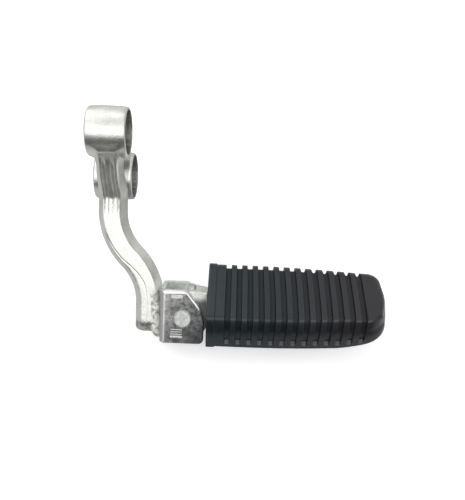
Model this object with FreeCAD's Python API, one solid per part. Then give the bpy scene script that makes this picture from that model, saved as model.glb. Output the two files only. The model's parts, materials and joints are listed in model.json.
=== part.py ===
import FreeCAD, Part
import math
import os

V = FreeCAD.Vector

# Driving dimensions in millimetres and degrees.
# The hanger is drawn in its own plane: x outboard, y up the arm, z to the front along the pivot pin.
pin_lean = 40.0           # pivot pin above the level, front end up
hanger_plane = -7.0       # middle of arm and bracket, along the pin

eye_bore_r = 12.8
eye_wall = 1.9
eye_length = 23.0
eye_edge = 0.9            # bevel of the eye rims
lower_eye_y = -26.6
lower_eye_z = -24.4

arm_width = 17.2          # across the parting line
arm_depth = 13.5
arm_facet = 10.0          # flat on the front and on the back
strut_width = 15.6        # at the upper eye
strut_facet = 10.0
strut_aside = 1.5         # strut leans inboard by this much at the upper eye
arm_edge = 0.9            # bevel along the forged edges
arm_x = 1.5               # arm centre below the eyes
strut_tilt = 20.0         # strut leans to the front towards the upper eye
strut_bend_r = 14.0
strut_bend_y = -37.5      # arm turns upright below this height
bend_angle = 45.0
bend_r = 39.0
bend_y = -46.0            # first bend starts here
arm_end_y = -119.2
arm_end_r = 5.5
flute_width = 3.6
flute_depth = 0.8
flute_pitch = 5.0
flute_gap = 0.8           # flare to flute
flare_r = 2.8             # hollow curve of the strut into the upper eye
flare_end = 11.6          # below the middle of the upper eye
flare_steps = 4
web_width = 11.0          # behind the strut, into the lower eye
web_rise = 13.0

sheet = 2.8
bracket_width = 26.0      # outside to outside along the pin
bracket_bend_r = 3.6
bracket_reach = 26.4      # base plate to free edge
cheek_top = 17.0          # above the pin
cheek_bottom = 15.6       # below the pin
cheek_slope_x = 1.9       # sloped corner, from the pin
cheek_slope_end_x = 10.2
cheek_slope_end_y = 6.6
cheek_nose_y = -1.8
cheek_nose_r = 9.0
cheek_foot_r = 3.0
cheek_edge = 0.5

plate_bite = 1.5          # arm is cut back by this much to seat on the base plate
weld_leg = 4.2            # bead width on the arm side
weld_throat = 1.3         # bead stands this proud of the arm face

pin_from_plate = 13.9     # pin centre from the outside of the base plate
pin_y = -107.3
pin_r = 4.0
pin_fit = 0.05
pin_head_r = 5.2
pin_head = 1.9
pin_tail = 5.4            # beyond the washer
washer_r = 8.0
washer_gap = 0.2
washer_thick = 1.6
split_r = 0.95
split_fit = 0.08
split_eye_r = 1.9
split_leg = 5.0
split_eye_sides = 8
pin_bevel = 0.6

side_gap = 0.6            # tang to cheek
stop_gap = 0.1            # tang stop to base plate at rest
swing_gap = 0.3           # turning faces
fold_angle = 45.0
fold_spare = 2.0
tang_bottom = -11.5
tang_top = 15.6
tang_top_x = 7.0
shoulder_top = 14.6
shoulder_bottom = -6.0
shoulder_half = 7.6       # half width at the rubber
waist_x = 5.0             # narrowing starts, from the pin
tang_edge = 2.2

rubber_x = 59.4           # inner end
rubber_y = -59.75         # axis, in world directions
rubber_top = -69.7
rubber_height = 20.4
rubber_half = 25.7        # half width at the inner end
rubber_corner_x = 105.3   # outer corners, from the inner end
rubber_corner_half = 22.4
rubber_corner_r = 9.0
rubber_length = 108.8
rubber_tip_r = 45.0
bevel_start = 90.0        # underside rises beyond this
bevel_rise = 10.0
tread_r = 7.0
collar = 5.0
collar_rise = 0.6
grooves = 13
groove_first = 12.4       # first groove, from the inner end
groove_pitch = 6.67
groove_width = 3.1
groove_depth = 2.8
groove_ledge = 2.8        # plain band along the bottom

bar_width = 24.0
bar_height = 8.0
bar_cover = 4.2           # rubber over the bar
bar_length = 92.0

bolt_from_end = 24.0
bolt_spacing = 46.0
bolt_r = 3.0
bolt_fit = 0.02
bolt_hole_gap = 0.3
bolt_flats = 10.0
bolt_head = 4.0
bolt_grip = 6.0           # length in the bar
recess_r = 9.6
recess_depth = 5.6
pad_washer_r = 8.5
pad_washer = 1.5

spare = 1.0               # cutting shapes reach past the faces they cut
touch = 1e-4              # coordinates this close are the same

# Sizes that follow
eye_r = eye_bore_r + eye_wall
arm_half = arm_width / 2
tilt = math.radians(strut_tilt)
strut_way = V(0, -math.cos(tilt), -math.sin(tilt))
strut_foot = V(0, strut_bend_y, hanger_plane) + V(0, math.sin(tilt), 1 - math.cos(tilt)) * strut_bend_r
strut_run = strut_foot.dot(strut_way)
strut_centre = V(0, strut_bend_y, hanger_plane + strut_bend_r)
bend_shift = bend_r * (1 - math.cos(math.radians(bend_angle)))
bend_drop = bend_r * math.sin(math.radians(bend_angle))
arm_end_x = arm_x + 2 * bend_shift
plate_x = arm_end_x + arm_half - plate_bite
pin_x = plate_x + pin_from_plate
cheek_x = plate_x + bracket_reach
front_z = hanger_plane + bracket_width / 2
back_z = hanger_plane - bracket_width / 2
tang_half = bracket_width / 2 - sheet - side_gap
plate_gap = pin_from_plate - sheet
swing_r = plate_gap - swing_gap
stop_x = stop_gap - plate_gap
shoulder_x = rubber_x - pin_x
rubber_bottom = rubber_top - rubber_height
bar_top = rubber_top - bar_cover
bar_bottom = bar_top - bar_height
washer_z = back_z - washer_thick
split_z = washer_z - pin_tail / 2
pad_seat = rubber_bottom + recess_depth
bolt_x = [rubber_x + bolt_from_end + i * bolt_spacing for i in range(2)]
six_turns = [k * math.pi / 3 for k in range(7)]


def rounded(corners, axis):
    # Closed face from corners (a, b, radius), square to the named axis. Below zero, the corner is cut flat.
    points = [V(a, b, 0) for a, b, r in corners]
    ends = []
    edges = []
    for i, here in enumerate(points):
        r = corners[i][2]
        back = (points[i - 1] - here).normalize()
        ahead = (points[(i + 1) % len(points)] - here).normalize()
        half = back.getAngle(ahead) / 2
        reach = r / math.tan(half) if r > 0 else -r
        ends.append((here + back * reach, here + ahead * reach))
        crown = here + (back + ahead).normalize() * (r / math.sin(half) - r)
        if r > 0:
            edges.append(Part.Arc(ends[i][0], crown, ends[i][1]).toShape())
        if r < 0:
            edges.append(Part.makeLine(*ends[i]))
    for i, (start, stop) in enumerate(ends):
        following = ends[(i + 1) % len(ends)][0]
        if stop.distanceToPoint(following) > touch:
            edges.append(Part.makeLine(stop, following))
    face = Part.Face(Part.Wire(Part.__sortEdges__(edges)))
    if axis == "y":
        face.rotate(V(0, 0, 0), V(1, 0, 0), 90)
    return face


def mirrored_pair(corners):
    # Corners given for the upper half, repeated below the axis.
    return corners + [(a, -b, r) for a, b, r in reversed(corners)]


def to_world(shape):
    shape.rotate(V(0, 0, 0), V(1, 0, 0), 90 - pin_lean)
    return shape


def push(face, way):
    return face.extrude(way), face.translated(way)


def turn(face, centre, axis, angle):
    return face.revolve(centre, axis, angle), face.rotated(centre, axis, angle)


def on_strut(face, down):
    # Square to the strut, at a distance down it from the upper eye.
    aside = strut_aside * (1 - down / strut_run)
    face.rotate(V(0, 0, 0), V(1, 0, 0), strut_tilt)
    face.translate(strut_foot + strut_way * (down - strut_run) + V(arm_x - aside, 0, 0))
    return face


def section(width, facet, down):
    # Forged six-sided section at a distance down the strut.
    half = width / 2
    flat = facet / 2
    deep = arm_depth / 2
    face = rounded([(-flat, -deep, -arm_edge), (flat, -deep, -arm_edge), (half, 0, -arm_edge),
                    (flat, deep, -arm_edge), (-flat, deep, -arm_edge), (-half, 0, -arm_edge)], "y")
    return on_strut(face, down)


def strut():
    # Narrow below the upper eye, with a hollow flare into it, and as wide as the arm at its foot.
    sections = [section(strut_width + 2 * flare_r, strut_facet + 2 * flare_r, 0)]
    for step in range(flare_steps + 1):
        angle = math.pi / 2 * step / flare_steps
        spread = 2 * flare_r * (1 - math.sin(angle))
        down = flare_end - flare_r * math.cos(angle)
        sections.append(section(strut_width + spread, strut_facet + spread, down))
    sections.append(section(arm_width, arm_facet, strut_run))
    return Part.makeLoft([face.OuterWire for face in sections], True, True)


def arm_bar():
    face = section(arm_width, arm_facet, strut_run)
    outer = V(arm_x + bend_r, bend_y, 0)
    inner = V(arm_end_x - bend_r, bend_y - 2 * bend_drop, 0)
    elbow, face = turn(face, strut_centre, V(-1, 0, 0), strut_tilt)
    upright, face = push(face, V(0, bend_y - strut_bend_y, 0))
    out, face = turn(face, outer, V(0, 0, 1), bend_angle)
    home, face = turn(face, inner, V(0, 0, -1), bend_angle)
    foot, face = push(face, V(0, arm_end_y - inner.y, 0))
    bar = strut().fuse([elbow, upright, out, home, foot]).removeSplitter()
    return bar.cut([end_trim(inner.y), plate_seat()])


def plate_seat():
    # Waste where the arm is cut flat against the base plate.
    high = pin_y + cheek_top + bracket_bend_r
    return Part.makeBox(arm_width, high - arm_end_y + spare, 2 * arm_depth,
                        V(plate_x, arm_end_y - spare, hanger_plane - arm_depth))


def end_trim(top):
    # Waste around the rounded lower end of the arm.
    left = arm_end_x - arm_half - spare
    right = arm_end_x + arm_half + spare
    deep = arm_depth / 2 + spare
    high = top + spare
    side = rounded([(left, high, 0), (left, arm_end_y, arm_end_r),
                    (right, arm_end_y, 0), (right, high, 0)], "z")
    front = rounded([(-deep, high, 0), (-deep, arm_end_y, arm_end_r),
                     (deep, arm_end_y, arm_end_r), (deep, high, 0)], "z")
    front.rotate(V(0, 0, 0), V(0, 1, 0), 90)
    keep = side.extrude(V(0, 0, 2 * deep)).translated(V(0, 0, hanger_plane - deep))
    keep = keep.common(front.extrude(V(right - left, 0, 0)).translated(V(left, 0, hanger_plane)))
    block = Part.makeBox(right - left, top - arm_end_y + spare, 2 * deep,
                         V(left, arm_end_y - spare, hanger_plane - deep))
    return block.cut(keep)


def flute(side):
    # Shallow groove down the front of the strut that runs out at its foot.
    middle = side * flute_pitch / 2
    face_z = arm_depth / 2
    wires = []
    for down, depth in ((flare_end + flute_gap, flute_depth), (strut_run, 0)):
        corners = [(middle, face_z - depth, 0), (middle + flute_width / 2, face_z + spare, 0),
                   (middle - flute_width / 2, face_z + spare, 0)]
        wires.append(on_strut(rounded(corners, "y"), down).OuterWire)
    return Part.makeLoft(wires, True, True)


def eye(y, z):
    ring = Part.makeCylinder(eye_r, eye_length, V(-eye_length / 2, y, z), V(1, 0, 0))
    return ring.makeChamfer(eye_edge, [e for e in ring.Edges if e.Closed])


def bore(y, z):
    return Part.makeCylinder(eye_bore_r, 2 * eye_length, V(-eye_length, y, z), V(1, 0, 0))


def eye_web():
    # Joins the back of the strut to the lower eye.
    low = strut_foot + strut_way * web_rise / 2
    high = strut_foot - strut_way * web_rise
    corners = [(low.y, low.z, 0), (high.y, high.z, 0), (lower_eye_y, lower_eye_z, 0)]
    face = rounded(corners, "z")
    face.rotate(V(0, 0, 0), V(1, 1, 1), 120)
    face.translate(V(arm_x - web_width / 2, 0, 0))
    return face.extrude(V(web_width, 0, 0))


def hanger_arm(bar):
    places = [(0, 0), (lower_eye_y, lower_eye_z)]
    body = bar.fuse([eye(y, z) for y, z in places] + [eye_web()])
    body = body.cut([bore(y, z) for y, z in places] + [flute(-1), flute(1)])
    return body.removeSplitter()


def clevis_bracket():
    wide = bracket_width / 2
    inside = wide - sheet
    inner_r = bracket_bend_r - sheet
    channel = rounded([(plate_x, -wide, bracket_bend_r), (cheek_x, -wide, 0), (cheek_x, -inside, 0),
                       (plate_x + sheet, -inside, inner_r), (plate_x + sheet, inside, inner_r),
                       (cheek_x, inside, 0), (cheek_x, wide, 0), (plate_x, wide, bracket_bend_r)], "y")
    top = pin_y + cheek_top
    foot = pin_y - cheek_bottom
    channel.translate(V(0, foot, hanger_plane))
    folded = channel.extrude(V(0, top - foot, 0))
    outline = rounded([(plate_x - spare, foot, 0), (cheek_x, foot, cheek_foot_r),
                       (cheek_x, pin_y + cheek_nose_y, cheek_nose_r),
                       (pin_x + cheek_slope_end_x, pin_y + cheek_slope_end_y, cheek_nose_r),
                       (pin_x + cheek_slope_x, top, cheek_foot_r), (plate_x - spare, top, 0)], "z")
    outline.translate(V(0, 0, back_z - spare))
    folded = folded.common(outline.extrude(V(0, 0, bracket_width + 2 * spare)))
    flat = [e for e in folded.Edges if abs(abs(e.CenterOfMass.z - hanger_plane) - wide) < touch]
    folded = folded.makeChamfer(cheek_edge, [e for e in flat if not vertical_bend(e)])
    return folded.cut(pin_rod(pin_r + pin_fit, front_z + spare, bracket_width + 2 * spare))


def vertical_bend(edge):
    # The straight line where a cheek runs into its bend.
    box = edge.BoundBox
    return box.XLength < touch and box.XMax < pin_x


def pin_rod(r, front, length):
    return Part.makeCylinder(r, length, V(pin_x, pin_y, front), V(0, 0, -1))


def weld_bead(arm, bracket):
    face_z = arm_depth / 2
    foot = pin_y - cheek_bottom
    top = pin_y + cheek_top
    edge_x = plate_x - weld_leg
    toe_x = plate_x - 2 * weld_leg
    toe_y = arm_end_y + weld_leg
    side = rounded([(edge_x, 0, 0), (plate_x, 0, 0), (plate_x, face_z + weld_throat, 0),
                    (edge_x, face_z, weld_throat)], "y")
    side.translate(V(0, foot, hanger_plane))
    run = side.extrude(V(0, top - foot, 0))
    both = run.fuse(run.mirror(V(0, 0, hanger_plane), V(0, 0, 1)))
    slope = rounded([(edge_x, top, 0), (edge_x, toe_y, 0), (toe_x, arm_end_y, 0),
                     (plate_x, foot, 0), (plate_x, top, 0)], "z")
    slope.translate(V(0, 0, back_z))
    under = rounded([(toe_x, toe_y, 0), (toe_x, arm_end_y, 0), (plate_x, foot, 0), (plate_x, toe_y, 0)], "z")
    under.translate(V(0, 0, hanger_plane - face_z))
    bead = both.common(slope.extrude(V(0, 0, bracket_width)))
    bead = bead.fuse(under.extrude(V(0, 0, arm_depth)))
    bead = bead.cut([arm, bracket])
    return max(bead.Solids, key=lambda s: s.Volume)


def bevelled(rod, z):
    # The round rim at one height along the pin is bevelled.
    rims = [e for e in rod.Edges if e.Closed and abs(e.CenterOfMass.z - z) < touch]
    return rod.makeChamfer(pin_bevel, rims)


def pivot_pin():
    tail_z = washer_z - pin_tail
    shank = bevelled(pin_rod(pin_r, front_z, front_z - tail_z), tail_z)
    head = bevelled(pin_rod(pin_head_r, front_z + pin_head, pin_head), front_z + pin_head)
    top = V(pin_x, pin_y + 2 * pin_r, split_z)
    cross = Part.makeCylinder(split_r + split_fit, 4 * pin_r, top, V(0, -1, 0))
    return shank.fuse(head).removeSplitter().cut(cross)


def pin_washer():
    disc = pin_rod(washer_r, back_z, washer_thick)
    return disc.cut(pin_rod(pin_r + washer_gap, back_z, washer_thick))


def split_pin():
    # Six-sided wire square to the pivot pin: an eye of straight lengths, a stem and two spread legs.
    at = V(pin_x, pin_y, split_z)
    knee = pin_r + split_fit + split_r
    ring = knee + split_eye_r
    turns = [math.pi * (2 * k / split_eye_sides - 0.5) for k in range(split_eye_sides + 1)]
    path = [at + V(split_eye_r * math.cos(t), ring + split_eye_r * math.sin(t), 0) for t in turns]
    loop = [wire_length(a, b) for a, b in zip(path, path[1:])]
    fork = at - V(0, knee, 0)
    stem = wire_length(at + V(0, knee, 0), fork)
    legs = [wire_length(fork, fork + V(way * split_leg, -split_leg / 2, 0)) for way in (1, -1)]
    return stem.fuse(loop + legs).removeSplitter()


def wire_length(start, end):
    way = (end - start).normalize()
    across = V(0, 0, 1)
    beside = way.cross(across)
    corners = [start + (across * math.cos(t) + beside * math.sin(t)) * split_r for t in six_turns]
    return Part.Face(Part.makePolygon(corners)).extrude(end - start)


def tang():
    slope = math.radians(fold_angle + fold_spare)
    corner_y = swing_r * math.tan(slope / 2)
    crown_x = (tang_top * math.sin(slope) - swing_r) / math.cos(slope)
    side = rounded([(stop_x, tang_bottom, tang_edge / 2), (-stop_x, tang_bottom, tang_edge),
                    (shoulder_x, shoulder_bottom, 0), (shoulder_x, shoulder_top, 0),
                    (tang_top_x, tang_top, 2 * tang_edge), (crown_x, tang_top, tang_edge),
                    (-swing_r, corner_y, swing_r), (-swing_r, -tang_edge / 2, 0),
                    (stop_x, -tang_edge, 0)], "z")
    plan = rounded(mirrored_pair([(2 * stop_x, tang_half, 0), (waist_x, tang_half, tang_edge),
                                  (shoulder_x, shoulder_half, 0)]), "y")
    plan.translate(V(0, 2 * tang_bottom, 0))
    block = side.extrude(V(0, 0, 2 * tang_half)).translated(V(0, 0, -tang_half))
    block = block.common(plan.extrude(V(0, 2 * tang_top - 2 * tang_bottom, 0)))
    block = block.cut(Part.makeCylinder(pin_r + pin_fit, 4 * tang_half, V(0, 0, -2 * tang_half)))
    block.translate(V(pin_x, pin_y, hanger_plane))
    return to_world(block)


def pad_bar():
    return Part.makeBox(bar_length, bar_width, bar_height, V(rubber_x, rubber_y - bar_width / 2, bar_bottom))


def footrest_core():
    core = tang().fuse(pad_bar())
    holes = [Part.makeCylinder(bolt_r + bolt_fit, bolt_grip + spare, V(x, rubber_y, bar_bottom - spare))
             for x in bolt_x]
    return core.cut(holes).removeSplitter()


def rubber_block(inset):
    half = [(rubber_x, rubber_half, 0), (rubber_x + rubber_corner_x, rubber_corner_half, rubber_corner_r)]
    tip = [(rubber_x + rubber_length, 0, rubber_tip_r)]
    face = rounded(half + tip + [(a, -b, r) for a, b, r in reversed(half)], "z")
    if inset > 0:
        face = face.makeOffset2D(-inset)
    face.translate(V(0, rubber_y, rubber_bottom))
    block = face.extrude(V(0, 0, rubber_height - inset))
    top = [e for e in block.Edges if e.BoundBox.ZMin > rubber_top - inset - spare
           and e.CenterOfMass.x > rubber_x + collar]
    return block.makeFillet(tread_r - inset, top).cut(underside_bevel())


def underside_bevel():
    start = rubber_x + bevel_start
    end = rubber_x + rubber_length
    wedge = rounded([(start, rubber_bottom, 0), (end, rubber_bottom, 0),
                     (end, rubber_bottom + bevel_rise, 0)], "y")
    wedge.translate(V(0, rubber_y - 2 * rubber_half, 0))
    return wedge.extrude(V(0, 4 * rubber_half, 0))


def tread_grooves():
    core = rubber_block(groove_depth)
    tools = []
    for i in range(grooves):
        x = rubber_x + groove_first + i * groove_pitch - groove_width / 2
        slab = Part.makeBox(groove_width, 3 * rubber_half, 2 * rubber_height,
                            V(x, rubber_y - 1.5 * rubber_half, rubber_bottom + groove_ledge))
        tools.append(slab.cut(core))
    return tools


def bolt_recesses():
    tools = []
    for x in bolt_x:
        tools.append(Part.makeCylinder(recess_r, recess_depth, V(x, rubber_y, rubber_bottom)))
        tools.append(Part.makeCylinder(bolt_r + bolt_hole_gap, bar_bottom - rubber_bottom,
                                       V(x, rubber_y, rubber_bottom)))
    return tools


def footrest_rubber():
    block = rubber_block(collar_rise)
    slab = Part.makeBox(collar, 3 * rubber_half, 2 * rubber_height,
                        V(rubber_x, rubber_y - 1.5 * rubber_half, rubber_bottom))
    block = block.fuse(rubber_block(0).common(slab))
    return block.cut(tread_grooves()).cut([pad_bar()] + bolt_recesses()).removeSplitter()


def pad_bolts():
    made = []
    for x in bolt_x:
        across = bolt_flats / math.sqrt(3)
        hexagon = Part.makePolygon([V(math.cos(t), math.sin(t), 0) * across for t in six_turns])
        seat = pad_seat - pad_washer
        head = Part.Face(hexagon).extrude(V(0, 0, bolt_head)).translated(V(x, rubber_y, seat - bolt_head))
        shank = Part.makeCylinder(bolt_r, bar_bottom + bolt_grip - seat, V(x, rubber_y, seat))
        made.append(head.fuse(shank).removeSplitter())
    return Part.makeCompound(made)


def pad_washers():
    made = []
    for x in bolt_x:
        at = V(x, rubber_y, pad_seat - pad_washer)
        disc = Part.makeCylinder(pad_washer_r, pad_washer, at)
        made.append(disc.cut(Part.makeCylinder(bolt_r + bolt_hole_gap, pad_washer, at)))
    return Part.makeCompound(made)


def write(name, shape):
    shape.exportStep("parts/" + name + ".step")
    print(name, round(shape.Volume), len(shape.Solids), shape.isValid())


os.makedirs("parts", exist_ok=True)
bar = arm_bar()
bracket = clevis_bracket()
write("weld_bead", to_world(weld_bead(bar, bracket)))
write("hanger_arm", to_world(hanger_arm(bar)))
write("clevis_bracket", to_world(bracket))
write("pivot_pin", to_world(pivot_pin()))
write("pin_washer", to_world(pin_washer()))
write("split_pin", to_world(split_pin()))
write("footrest_core", footrest_core())
write("footrest_rubber", footrest_rubber())
write("pad_bolts", pad_bolts())
write("pad_washers", pad_washers())
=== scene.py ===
import json
import math
import bmesh
import bpy
import numpy as np
from mathutils import Matrix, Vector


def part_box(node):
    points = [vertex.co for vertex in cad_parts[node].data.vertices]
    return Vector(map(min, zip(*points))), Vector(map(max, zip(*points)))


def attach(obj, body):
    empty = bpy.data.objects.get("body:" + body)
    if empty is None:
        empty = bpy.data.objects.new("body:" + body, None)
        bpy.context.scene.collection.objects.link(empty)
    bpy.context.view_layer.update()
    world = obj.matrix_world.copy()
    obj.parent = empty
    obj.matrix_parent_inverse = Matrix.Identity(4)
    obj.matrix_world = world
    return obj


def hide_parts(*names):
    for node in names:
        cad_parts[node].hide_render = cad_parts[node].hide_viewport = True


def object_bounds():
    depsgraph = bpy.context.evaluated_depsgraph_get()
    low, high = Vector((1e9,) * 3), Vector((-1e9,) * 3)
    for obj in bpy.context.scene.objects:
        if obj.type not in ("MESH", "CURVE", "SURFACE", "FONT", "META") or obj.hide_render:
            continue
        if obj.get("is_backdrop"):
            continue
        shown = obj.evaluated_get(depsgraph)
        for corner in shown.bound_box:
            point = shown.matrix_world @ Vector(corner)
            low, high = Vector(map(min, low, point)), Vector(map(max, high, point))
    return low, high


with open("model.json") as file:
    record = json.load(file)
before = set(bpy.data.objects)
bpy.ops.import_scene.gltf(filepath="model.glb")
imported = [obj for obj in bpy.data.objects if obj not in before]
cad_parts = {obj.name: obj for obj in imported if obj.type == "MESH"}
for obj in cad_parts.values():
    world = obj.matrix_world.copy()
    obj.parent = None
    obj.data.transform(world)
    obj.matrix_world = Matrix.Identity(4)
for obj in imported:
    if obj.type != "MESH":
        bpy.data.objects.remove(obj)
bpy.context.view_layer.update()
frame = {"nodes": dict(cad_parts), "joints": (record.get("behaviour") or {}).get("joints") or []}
mm = 0.001
noZero = 1e-6  # keeps a divisor from zero
hinge = frame["joints"][0]
lean = math.atan2(-hinge["axis"][1], hinge["axis"][2])  # how far the hanger's own plane leans back
leanCos = math.cos(lean)
leanSin = math.sin(lean)
print("frame loaded:", len(frame["nodes"]), "nodes")


def fullTurn(count):
    return np.linspace(0, 2 * math.pi, count, endpoint=False)


def join(*parts):
    return np.concatenate(parts)


def columns(*parts):
    # points from their coordinates, which may be single values
    return np.stack(np.broadcast_arrays(*parts), -1)


def unit(ways):
    return ways / np.linalg.norm(ways, axis=-1, keepdims=True)


# The hanger's own plane: x outboard, y up the arm, z to the front along the pivot pin, in millimetres
def toWorld(points):
    # a turn about X by the lean, then metres
    x, y, z = np.moveaxis(np.asarray(points, float), -1, 0)
    return columns(x, y * leanCos - z * leanSin, y * leanSin + z * leanCos) * mm


def toPlane(point):
    # back from the frame, in metres, to the hanger's own plane, in millimetres
    x, y, z = (v / mm for v in point)
    return np.array([x, y * leanCos + z * leanSin, z * leanCos - y * leanSin])


pinX, pinY, hangerPlane = toPlane(hinge["pos_m"])

# Mesh making: points nearer than joinGap are one, and edges shorter than thinEdge go, in metres
joinGap = 2e-6
thinEdge = 1e-7


def gridFaces(nu, nv, wrapU, wrapV):
    # corner numbers of the four-sided faces between neighbouring grid points
    i = np.arange(nu if wrapU else nu - 1)[:, None]
    j = np.arange(nv if wrapV else nv - 1)[None, :]
    nextI = (i + 1) % nu
    nextJ = (j + 1) % nv
    corners = [i * nv + j, nextI * nv + j, nextI * nv + nextJ, i * nv + nextJ]
    return np.stack(corners, -1).reshape(-1, 4)


def addObject(name, data):
    made = bpy.data.objects.new(name, data)
    bpy.context.scene.collection.objects.link(made)
    return made


def makePiece(name, grids, material, body, node, sharp=60):
    # grids: (points over u and v, wraps in u, wraps in v); doubles are merged and faces turned outwards
    points = []
    faces = []
    start = 0
    for grid, wrapU, wrapV in grids:
        nu, nv = grid.shape[:2]
        points.append(grid.reshape(-1, 3))
        faces.append(gridFaces(nu, nv, wrapU, wrapV) + start)
        start += nu * nv
    mesh = bpy.data.meshes.new(name)
    mesh.from_pydata(np.concatenate(points), [], np.concatenate(faces))
    soup = bmesh.new()
    soup.from_mesh(mesh)
    bmesh.ops.remove_doubles(soup, verts=soup.verts, dist=joinGap)
    bmesh.ops.dissolve_degenerate(soup, edges=soup.edges, dist=thinEdge)
    bmesh.ops.recalc_face_normals(soup, faces=soup.faces)
    soup.to_mesh(mesh)
    soup.free()
    mesh.shade_smooth()
    mesh.set_sharp_from_angle(angle=math.radians(sharp))
    piece = addObject(name, mesh)
    mesh.materials.append(material)
    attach(piece, body)
    if node:
        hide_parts(node)
    print("made", name, len(mesh.polygons), "faces")


def smooth(low, high, x):
    # smooth step from 0 at low to 1 at high
    t = np.clip((x - low) / (high - low), 0, 1)
    return t * t * (3 - 2 * t)


# Hanger arm's sizes
arm = {
    "eyeBore": 12.8, "eyeWall": 1.9, "eyeLength": 23.0, "rim": 1.1, "rimInside": 0.44, "barrel": 0.5,
    "lowerEye": (-26.6, -24.4),
    "half": 9.0, "facet": 5.0, "depth": 6.75, "edgePower": 20, "edgePull": 0.28,
    "strutHalf": 7.8, "strutFacet": 5.0, "aside": 0.9, "asideFrom": 0.6, "bunch": 1.3,
    "x": 1.5, "tilt": math.radians(20), "elbowR": 14.0, "elbowY": -39.5,
    "bend": math.radians(45), "bendR": 39.0, "bendY": -46.0,
    "endY": -119.2, "endSide": 3.0, "endFront": 7.5, "endThin": 5.2,
    "fluteDepth": 0.8, "flutePitch": 5.0, "fluteWidth": 1.1,
    "fluteStart": 12.4, "fluteRise": (-3.0, 6.0), "fluteFade": (-55.0, -36.0),
    "creaseDepth": 0.3, "creaseWidth": 0.3, "creaseFade": (-52.0, -64.0), "creaseThin": (-96.0, -86.0),
    "creaseY": (-118, -87.5, -72.5, -56), "creaseX": (-1.2, -0.8, -3.8, -5.0),
    "rootSwell": 6.0, "swellWall": 0.6, "swellBelow": (1.0, 6.0), "swellSide": (-4.0, -2.5),
    "around": 192, "alongStrut": 56, "alongElbow": 16, "alongBend": 40, "alongFoot": 10, "alongEnd": 20,
    "eyeAround": 160, "eyeAlong": 41,
}

# Rubber pad's sizes; runs along it start at its inner end
pad = {
    "inner": 59.4, "middle": -59.75, "top": -69.7, "height": 20.4,
    "half": 25.7, "bow": 1.2, "bowPower": 1.2, "length": 108.8, "tipR": 45.0,
    "cornerX": 105.3, "cornerHalf": 22.4, "cornerR": 9.0, "frontCornerR": 13.0,
    "bevelStart": 78.0, "bevelRise": 10.0, "bevelPower": 1.6, "treadR": 7.0,
    "frontWall": 4.5, "frontLean": (math.radians(8), math.radians(37)), "frontR": 3.8,
    "rearWall": 4.8, "footRow": 1.2,
    "cornerPull": 0.2, "cornerRun": (80.0, 97.0), "frontShare": (-0.25, 0.85),
    "collarEnd": (4.8, 5.2), "collarRise": 0.6,
    "grooves": 13, "first": 12.4, "pitch": 6.67, "width": 3.1, "depth": 2.8, "soft": 0.36,
    "ledge": 2.6, "ledgeRise": 1.5, "vee": (0.3, 1.75), "veeRun": (35.0, 85.0), "veeTilt": (0.9, 1.5),
    "rearBow": 1.3, "lowBow": 1.0, "crestY": 14.0, "frontY": (-12.0, 0.0),
    "bowRun": (5.0, 50.0), "bowFade": (95.0, 106.0),
    "edge": 0.5, "slotHalf": 12.0, "slotHeight": 8.0, "slotCover": 4.2, "slotDeep": 6.0,
    "boltFrom": 24.0, "boltSpacing": 46.0, "recess": 9.6, "recessDepth": 5.6, "boltHole": 3.3,
    "treadRun": (10.5, 10.7, 95.5, 95.7), "warmRun": (10.6, 100.6), "dullRun": (98.0, 106.0),
    "ledgeHighlightHalf": (0.8, 1.5), "endFrom": 95.4,
}

strutWay = np.array([0, -math.cos(arm["tilt"]), -math.sin(arm["tilt"])])
strutFront = np.array([0, -math.sin(arm["tilt"]), math.cos(arm["tilt"])])
strutFoot = np.array([0, arm["elbowY"] + arm["elbowR"] * math.sin(arm["tilt"]),
                      hangerPlane + arm["elbowR"] * (1 - math.cos(arm["tilt"]))])
strutRun = float(strutFoot @ strutWay)
strutShift = float(strutFoot @ strutFront)  # strut axis in front of the eye's axis
eyeOuter = arm["eyeBore"] + arm["eyeWall"]
armEndX = arm["x"] + 2 * arm["bendR"] * (1 - math.cos(arm["bend"]))
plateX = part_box("clevis_bracket")[0].x / mm


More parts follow.
